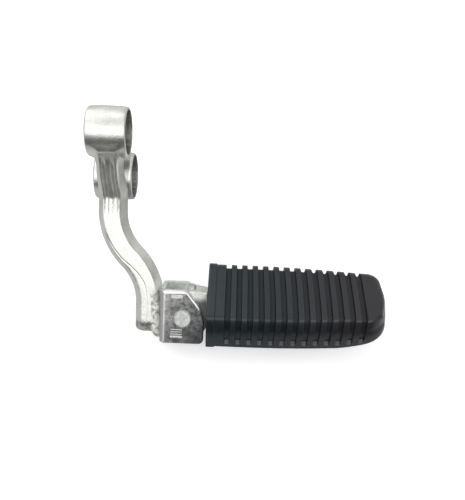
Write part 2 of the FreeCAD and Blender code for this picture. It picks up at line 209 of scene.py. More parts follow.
# Shader maths
class Sock:
    def __init__(self, tree, out=None):
        self.tree = tree
        self.out = out

    def node(self, kind, inputs=None, output=0, **settings):
        made = self.tree.nodes.new(kind)
        for key, value in settings.items():
            setattr(made, key, value)
        for key, value in (inputs or {}).items():
            self.feed(made, key, value)
        return Sock(self.tree, made.outputs[output])

    def feed(self, made, key, value):
        if isinstance(value, Sock):
            self.tree.links.new(value.out, made.inputs[key])
        else:
            made.inputs[key].default_value = value

    def math(self, operation, a, b=0.0):
        return self.node("ShaderNodeMath", {0: a, 1: b}, operation=operation)

    def apply(self, operation):
        # an operation on one value, such as ABSOLUTE
        return self.math(operation, self)

    def __add__(self, other):
        return self.math("ADD", self, other)

    __radd__ = __add__

    def __sub__(self, other):
        return self.math("SUBTRACT", self, other)

    def __rsub__(self, other):
        return self.math("SUBTRACT", other, self)

    def __mul__(self, other):
        return self.math("MULTIPLY", self, other)

    __rmul__ = __mul__

    def __truediv__(self, other):
        return self.math("DIVIDE", self, other)

    def most(self, other):
        return self.math("MAXIMUM", self, other)

    def step(self, low, high):
        # smooth step from 0 at low to 1 at high
        limits = {"Value": self, "From Min": low, "From Max": high}
        return self.node("ShaderNodeMapRange", limits, interpolation_type="SMOOTHSTEP")

    def mixColour(self, first, second):
        # self is the share of the second colour
        return self.node("ShaderNodeMix", {0: self, 6: first, 7: second}, 2, data_type="RGBA")

    def axis(self, name):
        return self.node("ShaderNodeSeparateXYZ", {0: self}, "XYZ".index(name))

    def turned(self, angle, scale=(1, 1, 1)):
        # coordinates turned about X, then stretched
        return self.node("ShaderNodeMapping", {"Vector": self, "Rotation": (angle, 0, 0), "Scale": scale})

    def noise(self, scale, detail=2.0, roughness=0.5):
        inputs = {"Vector": self, "Scale": scale, "Detail": detail, "Roughness": roughness}
        return self.node("ShaderNodeTexNoise", inputs)

    def rounded(self, radius):
        # the shading normal with sharp corners rounded by this radius
        return self.node("ShaderNodeBevel", {"Radius": radius}, samples=8)

    def nudged(self, way, share):
        # a normal pushed along a fixed direction
        move = self.node("ShaderNodeVectorMath", {0: way, "Scale": share}, operation="SCALE")
        return self.node("ShaderNodeVectorMath", {0: self, 1: move}, operation="ADD")

    def bump(self, strength, distance, normal=None):
        inputs = {"Height": self, "Strength": strength, "Distance": distance}
        if normal:
            inputs["Normal"] = normal
        return self.node("ShaderNodeBump", inputs)


def newMaterial(name):
    material = bpy.data.materials.new(name)
    material.use_nodes = True
    return material, Sock(material.node_tree).node("ShaderNodeTexCoord", output="Object")


def paint(material, colour, metallic, roughness, normal):
    # feeds the looks of a surface
    shader = material.node_tree.nodes["Principled BSDF"]
    looks = {"Base Color": colour, "Metallic": metallic, "Roughness": roughness, "Normal": normal}
    for key, value in looks.items():
        colour.feed(shader, key, value)
    return material


def dress(node, material):
    piece = frame["nodes"][node]
    piece.data.materials.clear()
    piece.data.materials.append(material)


def grey(value, warm=0.0):
    # a near-neutral colour, warmer above zero
    return (value * (1 + warm), value, value * (1 - warm), 1.0)


def past(value, limits, start=0.0):
    # 0 below the first limit and 1 above the second, both in millimetres from the start
    return value.step((start + limits[0]) * mm, (start + limits[1]) * mm)


def between(value, limits):
    # 0 outside the outer two of four limits and 1 between the inner two
    return past(value, limits[:2]) * (1 - past(value, limits[2:]))


def awayFrom(local, axes, place):
    # distance from a line square to the two axes
    first, second = [local.axis(name) - value * mm for name, value in zip(axes, place)]
    return (first * first + second * second).apply("SQRT")


# Forged arm's skin: where its marks and its painted shade lie in the hanger's own plane, in millimetres
forging = {
    "boreEdge": (0.1, 0.4),
    "fluteShadeLines": ((-2.3, 0.5), (2.2, 0.3), (5.9, 0.4)), "fluteShadeCore": 0.3,
    "fluteShadeY": (-53.0, -41.0, -38.5, -37.0), "fluteShadeZ": (-3.0, -1.0),
    "endShadeY": (-119.0, -117.6, -113.5, -111.5), "endShadeWander": 8.0,
    "flankShadeX": (5.8, 6.8), "flankShadeY": (-56.0, -44.0, -14.0, -10.0), "eyeX": (9.6, 10.2), "eyeY": (-36.0, -32.0),
    "bloomX": (26.0, 29.0), "bloomY": (-113.0, -106.0, -88.0, -80.0),
}


def boreMask(local, y, z):
    # 1 inside an eye's bore, which is bare and dull; its darker colour there is also painted shade
    return 1 - past(awayFrom(local, "YZ", (y, z)), forging["boreEdge"], arm["eyeBore"])


def fluteShade(local, grain):
    # painted shade: broken dark lines where the flutes run out below the elbow
    lines = 0
    for x, wide in forging["fluteShadeLines"]:
        off = (local.axis("X") - x * mm).apply("ABSOLUTE")
        lines = (1 - past(off, (forging["fluteShadeCore"] * wide, wide))).most(lines)
    front = past(local.axis("Z"), forging["fluteShadeZ"])
    return lines * between(local.axis("Y"), forging["fluteShadeY"]) * front * grain.step(0.40, 0.55)


def endShade(local, rough):
    # painted dark reflection: a blotchy dark band across the arm's lower end
    y = local.axis("Y") + (rough - 1) * (forging["endShadeWander"] * mm)
    blotch = local.noise(260.0, 2.0, 0.6).step(0.38, 0.58)
    return between(y, forging["endShadeY"]) * (0.35 + 0.65 * blotch)


def strutFlankShade(local):
    # painted shade on the outboard flank of the strut, down to the elbow, without the eye behind it
    x = local.axis("X")
    y = local.axis("Y")
    eye = past(x, forging["eyeX"]) * past(y, forging["eyeY"])
    return past(x, forging["flankShadeX"]) * (1 - eye) * between(y, forging["flankShadeY"])


def weldBloom(local):
    # matt, pale bloom on the flank beside the weld
    return past(local.axis("X"), forging["bloomX"]) * between(local.axis("Y"), forging["bloomY"])


def forgedZinc():
    # bright zinc over a grainy skin
    material, place = newMaterial("forgedZinc")
    local = place.turned(-lean)
    cloud = local.noise(120.0, 3.0)
    grain = local.noise(800.0, 3.0, 0.65)
    streak = place.turned(-lean, (1.0, 0.25, 1.0)).noise(900.0, 2.0)
    tone = (cloud * 0.5 + grain * 0.5).step(0.35, 0.65)
    plate = tone.mixColour((0.63, 0.64, 0.59, 1.0), (0.79, 0.80, 0.75, 1.0))
    # painted shade in the flute run-outs
    plate = (fluteShade(local, grain) * 0.8).mixColour(plate, (0.05, 0.05, 0.045, 1.0))
    # painted shade on the strut's outboard flank
    plate = (strutFlankShade(local) * 0.55).mixColour(plate, (0.22, 0.225, 0.21, 1.0))
    # painted dark reflection across the arm's lower end
    plate = (endShade(local, cloud + grain) * 0.65).mixColour(plate, (0.08, 0.085, 0.075, 1.0))
    # bores: bare metal, darker partly as painted shade, flecked with painted glints
    inside = boreMask(local, 0, 0).most(boreMask(local, *arm["lowerEye"]))
    glint = local.noise(420.0, 2.0).step(0.5, 0.68)
    boreShadeAndGlint = glint.mixColour((0.34, 0.35, 0.33, 1.0), (0.52, 0.53, 0.50, 1.0))
    metallic = 1 - 0.9 * weldBloom(local)
    roughness = 0.2 + 0.12 * cloud + 0.1 * grain + 0.1 * inside
    height = cloud * 0.5 + streak * 0.2 + grain * 0.3
    return paint(material, inside.mixColour(plate, boreShadeAndGlint), metallic, roughness, height.bump(0.6, 0.0004))


# Bracket's sheet: depths from the hanger's plane, other places from the plate or the pin, in millimetres.
# A painted highlight band has a point from the pin, a way outward, a start, an end and a push of the normal.
bracket = {
    "cheek": (11.5, 12.5), "bend": (7.5, 9.5), "flatX": (2.6, 4.0), "bendX": (1.1, 1.7), "splay": 0.085,
    "inboard": (3.0, 9.0), "outboard": (-6.0, 9.0), "below": (-15.0, 2.0),
    "bands": (((0.0, 17.0), (0.0, 1.0), -1.0, 2.3, (0.0, 0.42)),
              ((1.9, 17.0), (0.782, 0.624), -1.0, 1.5, (0.30, 0.28)),
              ((-13.9, 0.0), (-1.0, 0.0), 1.6, 2.9, (-0.22, 0.34))),
    "bandSoft": (0.4, 0.5),
}


def sheetZinc():
    # smooth, mottled outer cheeks, slightly splayed, with painted highlights along their edges, painted
    # light near the plate and painted shade below, outboard and on the bend; a paler bloom elsewhere
    material, place = newMaterial("sheetZinc")
    local = place.turned(-lean)
    x = local.axis("X")
    y = local.axis("Y")
    cloud = local.noise(420.0, 4.0, 0.65)
    fine = local.noise(2000.0, 2.0)
    tone = (cloud * 0.7 + fine * 0.3).step(0.36, 0.66)
    depth = (local.axis("Z") - hangerPlane * mm).apply("ABSOLUTE")
    cheek = past(depth, bracket["cheek"])
    flat = cheek * past(x, bracket["flatX"], plateX)
    bend = past(depth, bracket["bend"]) * (1 - past(x, bracket["bendX"], plateX))
    normal = place.rounded(0.001).nudged((0, -leanCos, -leanSin), flat * bracket["splay"])
    # the bands are painted highlights along the cheeks' edges
    wearAndHighlight = cheek * 0
    softIn, softOut = bracket["bandSoft"]
    for (fromX, fromY), (outX, outY), start, end, (pushX, pushY) in bracket["bands"]:
        inside = (x - (pinX + fromX) * mm) * -outX + (y - (pinY + fromY) * mm) * -outY
        band = cheek * between(inside, (start - softIn, start, end - softOut, end))
        normal = normal.nudged((pushX, pushY * leanCos, pushY * leanSin), band)
        wearAndHighlight = wearAndHighlight.most(band)
    inboard = 1 - past(x, bracket["inboard"], plateX)
    outboard = past(x, bracket["outboard"], pinX)
    below = 1 - past(y, bracket["below"], pinY)
    plate = tone.mixColour(grey(0.19, 0.02), grey(0.72))
    # painted light near the plate, painted shade below and outboard
    plate = (inboard * 0.55).mixColour(plate, grey(0.76))
    plate = (below * 0.35).mixColour(plate, (0.06, 0.06, 0.075, 1.0))
    plate = (outboard * 0.5).mixColour(plate, (0.05, 0.055, 0.065, 1.0))
    # painted highlights along the edges
    plate = (wearAndHighlight * 0.85).mixColour(plate, grey(0.80))
    bloom = tone.mixColour((0.60, 0.63, 0.59, 1.0), (0.78, 0.81, 0.76, 1.0))
    # painted shade on the bend
    colour = (bend * 0.4).mixColour(cheek.mixColour(bloom, plate), (0.13, 0.135, 0.125, 1.0))
    metallic = 0.35 + 0.55 * cheek.most(bend)
    roughness = 0.36 + 0.12 * cloud - 0.2 * cheek
    height = cloud * 0.6 + fine * 0.4
    return paint(material, colour, metallic, roughness, height.bump(1.0, 0.00006, normal))


def wornZinc():
    # plain plated fasteners and worn raised marks
    material, place = newMaterial("wornZinc")
    cloud = place.noise(900.0, 3.0, 0.6)
    tone = cloud.step(0.35, 0.65)
    colour = tone.mixColour((0.40, 0.40, 0.39, 1.0), (0.64, 0.64, 0.62, 1.0))
    return paint(material, colour, 0.9, 0.28 + 0.16 * cloud, cloud.bump(0.5, 0.0001, place.rounded(0.0004)))


def weldSteel():
    # streaky, spattered bead
    material, place = newMaterial("weldSteel")
    local = place.turned(-lean)
    cloud = local.noise(520.0, 3.0, 0.6)
    lump = place.turned(-lean, (1.6, 0.35, 1.6)).noise(300.0, 2.0, 0.5)
    tone = (cloud * 0.5 + lump * 0.5).step(0.38, 0.62)
    colour = tone.mixColour((0.34, 0.35, 0.31, 1.0), (0.80, 0.81, 0.76, 1.0))
    return paint(material, colour, 0.55, 0.38 + 0.15 * cloud, (cloud * 0.3 + lump * 0.7).bump(0.5, 0.0008))


# Pin's head: turning marks, in waves per metre, and the rim of its centre mark, in millimetres
pinHead = {"rings": 9000.0, "dot": (0.2, 0.9)}


def turnedSteel():
    # turned rings about the pin, with a small centre mark
    material, place = newMaterial("turnedSteel")
    local = place.turned(-lean)
    radius = awayFrom(local, "XY", (pinX, pinY))
    rings = (radius * pinHead["rings"]).apply("SINE")
    dot = 1 - past(radius, pinHead["dot"])
    cloud = place.noise(700.0, 3.0)
    colour = cloud.step(0.3, 0.7).mixColour((0.46, 0.475, 0.455, 1.0), (0.66, 0.675, 0.645, 1.0))
    height = rings * 0.15 + cloud - dot * 1.5
    return paint(material, colour, 0.85, 0.42 + 0.14 * cloud, height.bump(0.35, 0.0003))


# Casting's painted shade on its lower part: it ends between these heights above the pin, in millimetres
casting = {"shade": (8.5, 12.5)}


def castIron():
    # plated casting with a stippled skin
    material, place = newMaterial("castIron")
    cloud = place.noise(240.0, 3.0)
    stipple = place.noise(1500.0, 3.0, 0.7)
    tone = (cloud * 0.4 + stipple * 0.6).step(0.38, 0.62)
    # painted shade on the lower part of the casting
    shade = 1 - past(place.turned(-lean).axis("Y"), casting["shade"], pinY)
    skin = tone.mixColour((0.60, 0.62, 0.57, 1.0), (0.88, 0.89, 0.84, 1.0))
    colour = (shade * 0.8).mixColour(skin, (0.07, 0.075, 0.07, 1.0))
    normal = (stipple * 0.7 + cloud * 0.3).bump(0.6, 0.0005, place.rounded(0.001))
    return paint(material, colour, 0.7, 0.28 + 0.2 * stipple, normal)


def moulded():
    # satin moulded rubber with a faint bloom, painted shade in the grooves and a painted highlight on the
    # ledge at the foot of each
    material, place = newMaterial("mouldedRubber")
    shader = material.node_tree.nodes["Principled BSDF"]
    shader.inputs["Specular Tint"].default_value = (0.96, 1.0, 1.03, 1.0)
    cloud = place.noise(60.0, 3.0)
    grain = place.noise(2600.0, 2.0)
    tone = (cloud * 0.7 + grain * 0.3).step(0.35, 0.65)
    x = place.axis("X") / mm - pad["inner"]
    y = place.axis("Y") / mm - pad["middle"]
    z = place.axis("Z") / mm - pad["top"] + pad["height"]
    fromCrest = (y + pad["crestY"]) / (pad["half"] + pad["crestY"])
    lowBow = pad["lowBow"] * (1 - z / pad["height"]) * (1 - y.step(*pad["frontY"]))
    bow = pad["rearBow"] * fromCrest * fromCrest + lowBow
    turns = (x + bow * x.step(*pad["bowRun"]) - pad["first"]) / pad["pitch"] + 0.5
    apart = ((turns.apply("FRACT") - 0.5) * pad["pitch"]).apply("ABSOLUTE")
    groove = 1 - apart.step(pad["width"] / 2 - 0.15, pad["width"] / 2 + 0.1)
    groove = groove * x.step(*pad["treadRun"][:2]) * (1 - x.step(*pad["treadRun"][2:]))
    share = ((x - pad["bevelStart"]) / (pad["length"] - pad["bevelStart"])).most(0.0)
    lift = share.math("POWER", share, pad["bevelPower"]) * pad["bevelRise"]
    wallTop = pad["height"] - pad["treadR"]
    up = (z - lift) * wallTop / (wallTop - lift)
    ledgeTop = pad["ledge"] + pad["ledgeRise"]
    # painted highlight on the ledge at the foot of each groove
    ledge = (1 - apart.step(*pad["ledgeHighlightHalf"])) * groove * up.step(pad["ledge"] - 0.1, pad["ledge"] + 0.2)
    ledge = ledge * (1 - up.step(ledgeTop - 0.2, ledgeTop + 0.1))
    groove = groove * up.step(ledgeTop - 0.1, ledgeTop + 0.3)
    shade = groove * (1 - up.step(ledgeTop + 1.0, ledgeTop + 2.0))
    outboard = x.step(*pad["warmRun"])
    cool = tone.mixColour((0.005, 0.010, 0.012, 1.0), (0.008, 0.014, 0.016, 1.0))
    brown = tone.mixColour((0.014, 0.013, 0.016, 1.0), (0.018, 0.016, 0.020, 1.0))
    # groove floors darker, as painted shade
    floor = outboard.mixColour((0.003, 0.007, 0.009, 1.0), (0.014, 0.013, 0.015, 1.0))
    skin = (groove * 0.8).mixColour(outboard.mixColour(cool, brown), floor)
    skin = shade.mixColour(skin, (0.001, 0.001, 0.0015, 1.0))
    skin = ledge.mixColour(skin, (0.06, 0.061, 0.064, 1.0))
    floorZ = pad["height"] - pad["depth"]
    dull = 0.4 * groove * z.step(floorZ - 1.2, floorZ - 0.2) + 0.2 * x.step(*pad["dullRun"])
    roughness = 0.15 + 0.06 * cloud + 0.05 * grain + dull
    return paint(material, skin, 0.0, roughness, (grain * 0.7 + cloud * 0.3).bump(0.25, 0.00015))


forged = forgedZinc()
sheet = sheetZinc()
wearAndHighlight = wornZinc()
weld = weldSteel()
steel = turnedSteel()
iron = castIron()
rubber = moulded()
print("materials:", len(bpy.data.materials))


def sectionRadius(angle, half, facet):
    # six flats: a power mean of three pairs of parallel faces, in which a high power keeps edges tight
    deep = arm["depth"]
    p = arm["edgePower"]
    lean1 = np.abs(deep * np.cos(angle) + (half - facet) * np.sin(angle)) / (deep * half)
    lean2 = np.abs(deep * np.cos(angle) - (half - facet) * np.sin(angle)) / (deep * half)
    flat = np.abs(np.sin(angle)) / deep
    return (lean1 ** p + lean2 ** p + flat ** p) ** (-1 / p)


def strutWidths(down):
    # half width and half facet of the strut at a distance below the upper eye
    share = np.clip((down - arm["fluteStart"]) / (strutRun - arm["fluteStart"]), 0, 1)
    return (arm["strutHalf"] + (arm["half"] - arm["strutHalf"]) * share,
            arm["strutFacet"] + (arm["facet"] - arm["strutFacet"]) * share)


def strutX(down):
    # middle of the strut: it leans inboard towards the upper eye
    return arm["x"] - arm["aside"] * smooth(strutRun, arm["asideFrom"] * strutRun, down)


def swell(distance):
    # two surfaces this far apart rise towards each other, so that they meet in a hollow curve
    reach = arm["rootSwell"]
    return reach / 4 * np.clip(1 - np.abs(distance) / reach, 0, 1) ** 2


def eyeDistance(points, y, z):
    return np.hypot(points[..., 1] - y, points[..., 2] - z) - eyeOuter


def outOfBore(points, y, z):
    # points of the bar inside an eye are moved out to the middle of its wall
    apart = points[..., 1:] - np.array([y, z])
    radius = np.maximum(np.linalg.norm(apart, axis=-1), noZero)
    grow = np.maximum((eyeOuter - arm["eyeWall"] / 2) / radius, 1)[..., None]
    points[..., 1:] = np.array([y, z]) + apart * grow
    return points


def armPath():
    # centre points, directions and front directions from the strut's foot to the arm's end
    a = np.linspace(arm["tilt"], 0, arm["alongElbow"])
    elbow = columns(arm["x"], arm["elbowY"] + arm["elbowR"] * np.sin(a),
                    hangerPlane + arm["elbowR"] * (1 - np.cos(a)))
    elbowWay = columns(0, -np.cos(a), -np.sin(a))
    elbowFront = columns(0, -np.sin(a), np.cos(a))
    turnOut = np.linspace(0, arm["bend"], arm["alongBend"])
    turnHome = turnOut[::-1]
    drop = arm["bendR"] * math.sin(arm["bend"])
    lowY = arm["bendY"] - 2 * drop
    outX = arm["x"] + arm["bendR"] * (1 - np.cos(turnOut))
    outY = arm["bendY"] - arm["bendR"] * np.sin(turnOut)
    homeX = armEndX - arm["bendR"] * (1 - np.cos(turnHome))
    homeY = lowY + arm["bendR"] * np.sin(turnHome)
    rounding = arm["endFront"] * (1 - np.sin(np.linspace(0, math.pi / 2, arm["alongEnd"])))
    straight = np.linspace(lowY, arm["endY"] + arm["endFront"], arm["alongFoot"])[1:-1]
    footY = join(straight, arm["endY"] + rounding)
    x = join(outX, homeX[1:], 0 * footY + armEndX)
    y = join(outY, homeY[1:], footY)
    turn = join(turnOut, turnHome[1:], 0 * footY)
    low = columns(x, y, hangerPlane)
    lowWay = columns(np.sin(turn), -np.cos(turn), 0)
    lowFront = columns(0 * turn, 0, 1)
    return join(elbow, low), join(elbowWay, lowWay), join(elbowFront, lowFront)


def fluteCut(across, front, height, down):
    # depth of the two flutes: they start below the upper eye and run out over the elbow
    grooves = 0
    for side in (-1, 1):
        apart = (across - side * arm["flutePitch"] / 2) / arm["fluteWidth"]
        grooves = grooves + np.exp(-apart ** 4)
    fade = smooth(*arm["fluteRise"], down - arm["fluteStart"]) * smooth(*arm["fluteFade"], height)
    return arm["fluteDepth"] * grooves * fade * (front > 0)


def creaseCut(across, front, height):
    # thin trim line that wanders from the left edge of the front to its middle
    line = np.interp(height, arm["creaseY"], arm["creaseX"])
    fade = smooth(*arm["creaseFade"], height) * (0.3 + 0.7 * smooth(*arm["creaseThin"], height))
    return arm["creaseDepth"] * np.exp(-((across - line) / arm["creaseWidth"]) ** 2) * fade * (front > 0)


def endInset(height, reach, inset):
    # quarter ellipse: nothing until the reach above the arm's end, then in to the inset
    tail = np.clip((arm["endY"] + reach - height) / reach, 0, 1)
    return inset * (1 - np.sqrt(1 - tail * tail))


def armBar():
    # the section carried down the strut, round the elbow and along the S-bend to a rounded end
    even = fullTurn(arm["around"])
    angle = (even + arm["edgePull"] * np.sin(2 * even))[None, :]
    share = np.linspace(0, 1, arm["alongStrut"])[:, None]
    across = np.cos(angle)
    deep = np.sin(angle)
    top = sectionRadius(angle, arm["strutHalf"], arm["strutFacet"])
    wall = eyeOuter - arm["eyeWall"] / 2
    begin = np.sqrt(np.clip(wall ** 2 - (top * deep + strutShift) ** 2, 0, None))
    down = begin + (strutRun - begin) * share ** arm["bunch"]
    half, facet = strutWidths(down)
    radius = sectionRadius(angle, half, facet)
    middle = strutFront * strutShift + strutWay * down[..., None]
    middle[..., 0] = strutX(down)
    outward = across[..., None] * np.array([1.0, 0, 0]) + deep[..., None] * strutFront
    strut = middle + outward * radius[..., None]
    near = np.minimum(np.abs(eyeDistance(strut, 0, 0)), np.abs(eyeDistance(strut, *arm["lowerEye"])))
    strut = strut + outward * swell(near)[..., None]
    cut = fluteCut(radius * across, deep, middle[..., 1], down)
    strut = strut - strutFront * cut[..., None]
    centre, way, front = armPath()
    side = np.cross(way, front) * -1
    lower = sectionRadius(angle, arm["half"], arm["facet"])
    wide = 1 - endInset(centre[:, 1], arm["endSide"], arm["endSide"])[:, None] / arm["half"]
    thick = 1 - endInset(centre[:, 1], arm["endFront"], arm["endThin"])[:, None] / arm["depth"]
    lowOut = (across * wide)[..., None] * side[:, None] + (deep * thick)[..., None] * front[:, None]
    low = centre[:, None] + lowOut * lower[..., None]
    near = np.abs(eyeDistance(low, *arm["lowerEye"]))
    low = low + lowOut * swell(near)[..., None]
    height = centre[:, 1][:, None]
    cut = fluteCut(lower * across, deep, height, strutRun) + creaseCut(lower * across, deep, height)
    low = low - front[:, None] * cut[..., None]
    low[..., 0] = np.minimum(low[..., 0], plateX)
    cap = centre[-1] + np.zeros_like(low[-1:])
    return outOfBore(join(strut, low[1:], cap), *arm["lowerEye"])


def eyeRing(y, z):
    # a barrel-shaped wall with rounded rims, turned about X; it rises to meet the strut
    a = np.linspace(0, math.pi / 2, 7)
    rim = arm["rim"]
    small = arm["rimInside"]
    bore = arm["eyeBore"]
    end = arm["eyeLength"] / 2
    outside = np.linspace(-end + rim, end - rim, arm["eyeAlong"])
    inside = np.linspace(end - small, small - end, 13)[1:]
    alongX = join(outside, end - rim + rim * np.sin(a[1:]),
                  end - small + small * np.cos(a), inside,
                  small - end - small * np.sin(a[1:]), rim - end - rim * np.cos(a[:-1]))
    radius = join(0 * outside + eyeOuter, eyeOuter - rim + rim * np.cos(a[1:]),
                  bore + small - small * np.sin(a), 0 * inside + bore,
                  bore + small - small * np.cos(a[1:]), eyeOuter - rim + rim * np.sin(a[:-1]))
    radius = radius - arm["barrel"] * (alongX / end) ** 2 * (radius - bore) / arm["eyeWall"]
    turn = fullTurn(arm["eyeAround"])[:, None]
    points = columns(alongX, y + radius * np.cos(turn), z + radius * np.sin(turn))
    reachN = points @ strutFront - strutShift
    down = points @ strutWay
    reachX = points[..., 0] - strutX(down)
    half, facet = strutWidths(down)
    apart = np.hypot(reachX, reachN) - sectionRadius(np.arctan2(reachN, reachX), half, facet)
    outer = smooth(bore + arm["swellWall"], eyeOuter, radius)
    beside = smooth(*arm["swellSide"], half - np.abs(points[..., 0]))
    rise = swell(apart) * outer * smooth(*arm["swellBelow"], down) * beside
    points[..., 1] += rise * np.cos(turn)
    points[..., 2] += rise * np.sin(turn)
    return points


eyes = [eyeRing(0, 0), eyeRing(*arm["lowerEye"])]
armGrids = [(toWorld(armBar()), False, True)] + [(toWorld(ring), True, True) for ring in eyes]
makePiece("forged_arm", armGrids, forged, "hanger", "hanger_arm")

# Weld between arm and bracket; waves are (size, pace, start) along the bead
bead = {
    "heights": (-15.0, -9.0, 16.0), "fromPlate": (1.2, 3.4, 4.8), "share": (0.42, 0.85, 1.0),
    "top": 16.0, "bottom": -14.2, "depth": 4.9, "corner": 3.0, "wide": 3.8, "thick": 2.2,
    "wander": ((0.9, 0.6, 0.0), (0.5, 1.7, 1.0)), "ripple": 2.9, "rise": 0.02,
    "lump": 0.06, "lumpWaves": ((1.0, 0.43, 1.1), (0.7, 0.97, 0.0)), "lumpTurn": 2.2,
    "toe": 3.0, "toeR": 2.0, "toeShort": 1.5, "toeAlong": 60, "along": 420, "around": 48,
}


def cornerArc(before, here, after, radius):
    # ways back and ahead from a corner, the centre of its rounding, and how far from the corner that starts
    back = unit(before - here)
    ahead = unit(after - here)
    half = math.acos(float(back @ ahead)) / 2
    centre = here + unit(back + ahead) * radius / math.sin(half)
    return back, ahead, centre, radius / math.tan(half)


def roundedPath(corners, radius, count):
    # straight runs joined by arcs, sampled evenly
    corners = np.asarray(corners, float)
    points = [corners[:1]]
    t = np.linspace(0, 1, 24)[:, None]
    for before, here, after in zip(corners, corners[1:], corners[2:]):
        back, ahead, centre, reach = cornerArc(before, here, after, radius)
        arc = here + back * reach * (1 - t) + ahead * reach * t - centre
        points.append(centre + unit(arc) * radius)
    points.append(corners[-1:])
    points = np.concatenate(points)
    length = join([0], np.cumsum(np.linalg.norm(np.diff(points, axis=0), axis=1)))
    even = np.linspace(0, length[-1], count)
    return np.stack([np.interp(even, length, points[:, k]) for k in range(3)], -1), even


def tube(path, radius, around, beside):
    # a circle carried along a path that lies square to the beside direction; radius varies along and around
    turn = fullTurn(around)
    other = np.cross(unit(np.gradient(path, axis=0)), beside)
    ring = np.cos(turn)[:, None] * beside + np.sin(turn)[:, None] * other[:, None]
    return path[:, None] + ring * radius[..., None]


def beadRadius(along, turn):
    # flat oval with uneven ripples and lumps, closed round at both ends
    wander = along
    for size, pace, start in bead["wander"]:
        wander = wander + size * np.sin(along * pace + start)
    ripple = np.abs(np.sin(math.pi * (wander / bead["ripple"] + 0.5 * np.cos(turn) ** 2)))
    lump = 0
    shifts = (np.sin(turn), bead["lumpTurn"] * np.cos(turn))
    for (size, pace, start), shift in zip(bead["lumpWaves"], shifts):
        lump = lump + size * np.sin(along * pace + start + shift)
    oval = 1 / np.hypot(np.cos(turn) / bead["wide"], np.sin(turn) / bead["thick"])
    radius = oval + bead["rise"] * (ripple - 0.5) + bead["lump"] * lump
    ends = np.clip(np.minimum(along, along.max() - along) / bead["wide"], 0, 1)
    return radius * np.sqrt(ends * (2 - ends))


def weldBead():
    # a bead round three sides of the arm's end, and a short toe under it
    high = pinY + bead["top"]
    low = pinY + bead["bottom"]
    near = hangerPlane + bead["depth"]
    far = hangerPlane - bead["depth"]
    beside = np.array([1.0, 0, 0])
    corners = [(plateX, high, near), (plateX, low, near), (plateX, low, far), (plateX, high, far)]
    path, along = roundedPath(corners, bead["corner"], bead["along"])
    path[:, 0] -= np.interp(path[:, 1] - pinY, bead["heights"], bead["fromPlate"])
    share = np.interp(path[:, 1] - pinY, bead["heights"], bead["share"])[:, None]
    turn = fullTurn(bead["around"])[None, :]
    main = tube(path, beadRadius(along[:, None], turn) * share, bead["around"], beside)
    z = np.linspace(-1, 1, bead["toeAlong"]) * (bead["depth"] - bead["toeShort"])
    under = columns(plateX - bead["toe"], arm["endY"], hangerPlane + z)
    toe = beadRadius(z[:, None] - z[0], turn) * bead["toeR"] / bead["wide"]
    return [main, tube(under, toe, bead["around"], beside)]


weldGrids = [(toWorld(run), False, True) for run in weldBead()]
makePiece("weld_run", weldGrids, weld, "hanger", "weld_bead")

# Split pin behind the rear cheek
splitPin = {"wire": 0.95, "eye": 1.9, "knee": 5.03, "leg": 5.0, "bend": 1.6, "around": 20}


def splitWire():
    # round wire square to the pivot pin: an eye, a stem through the pin and two spread legs
    low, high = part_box("split_pin")
    place = np.array([pinX, pinY, toPlane((low + high) / 2)[2]])
    knee = splitPin["knee"]
    t = np.linspace(-math.pi / 2, 1.5 * math.pi, 48)
    loop = columns(splitPin["eye"] * np.cos(t), knee + splitPin["eye"] * (1 + np.sin(t)), 0)
    paths = [loop]
    for way in (1, -1):
        corners = [(0, knee, 0), (0, -knee, 0), (way * splitPin["leg"], -knee - splitPin["leg"] / 2, 0)]
        paths.append(roundedPath(corners, splitPin["bend"], 60)[0])
    grids = []
    for path in paths:
        ends = np.arange(len(path)) * (len(path) - 1 - np.arange(len(path))) > 0
        radius = (splitPin["wire"] * ends)[:, None]
        wire = tube(path + place, radius, splitPin["around"], np.array([0, 0, 1.0]))
        grids.append((toWorld(wire), False, True))
    return grids


makePiece("split_pin_wire", splitWire(), steel, "hanger", "split_pin")


def arcThrough(before, here, after, radius, count):
    # points of the arc that rounds one corner, with the inward direction at each
    back, ahead, centre, reach = cornerArc(before, here, after, radius)
    start = here + back * reach - centre
    end = here + ahead * reach - centre
    a = np.linspace(math.atan2(start[1], start[0]), math.atan2(end[1], end[0]), count)
    inward = -columns(np.cos(a), np.sin(a))
    return centre - inward * radius, inward


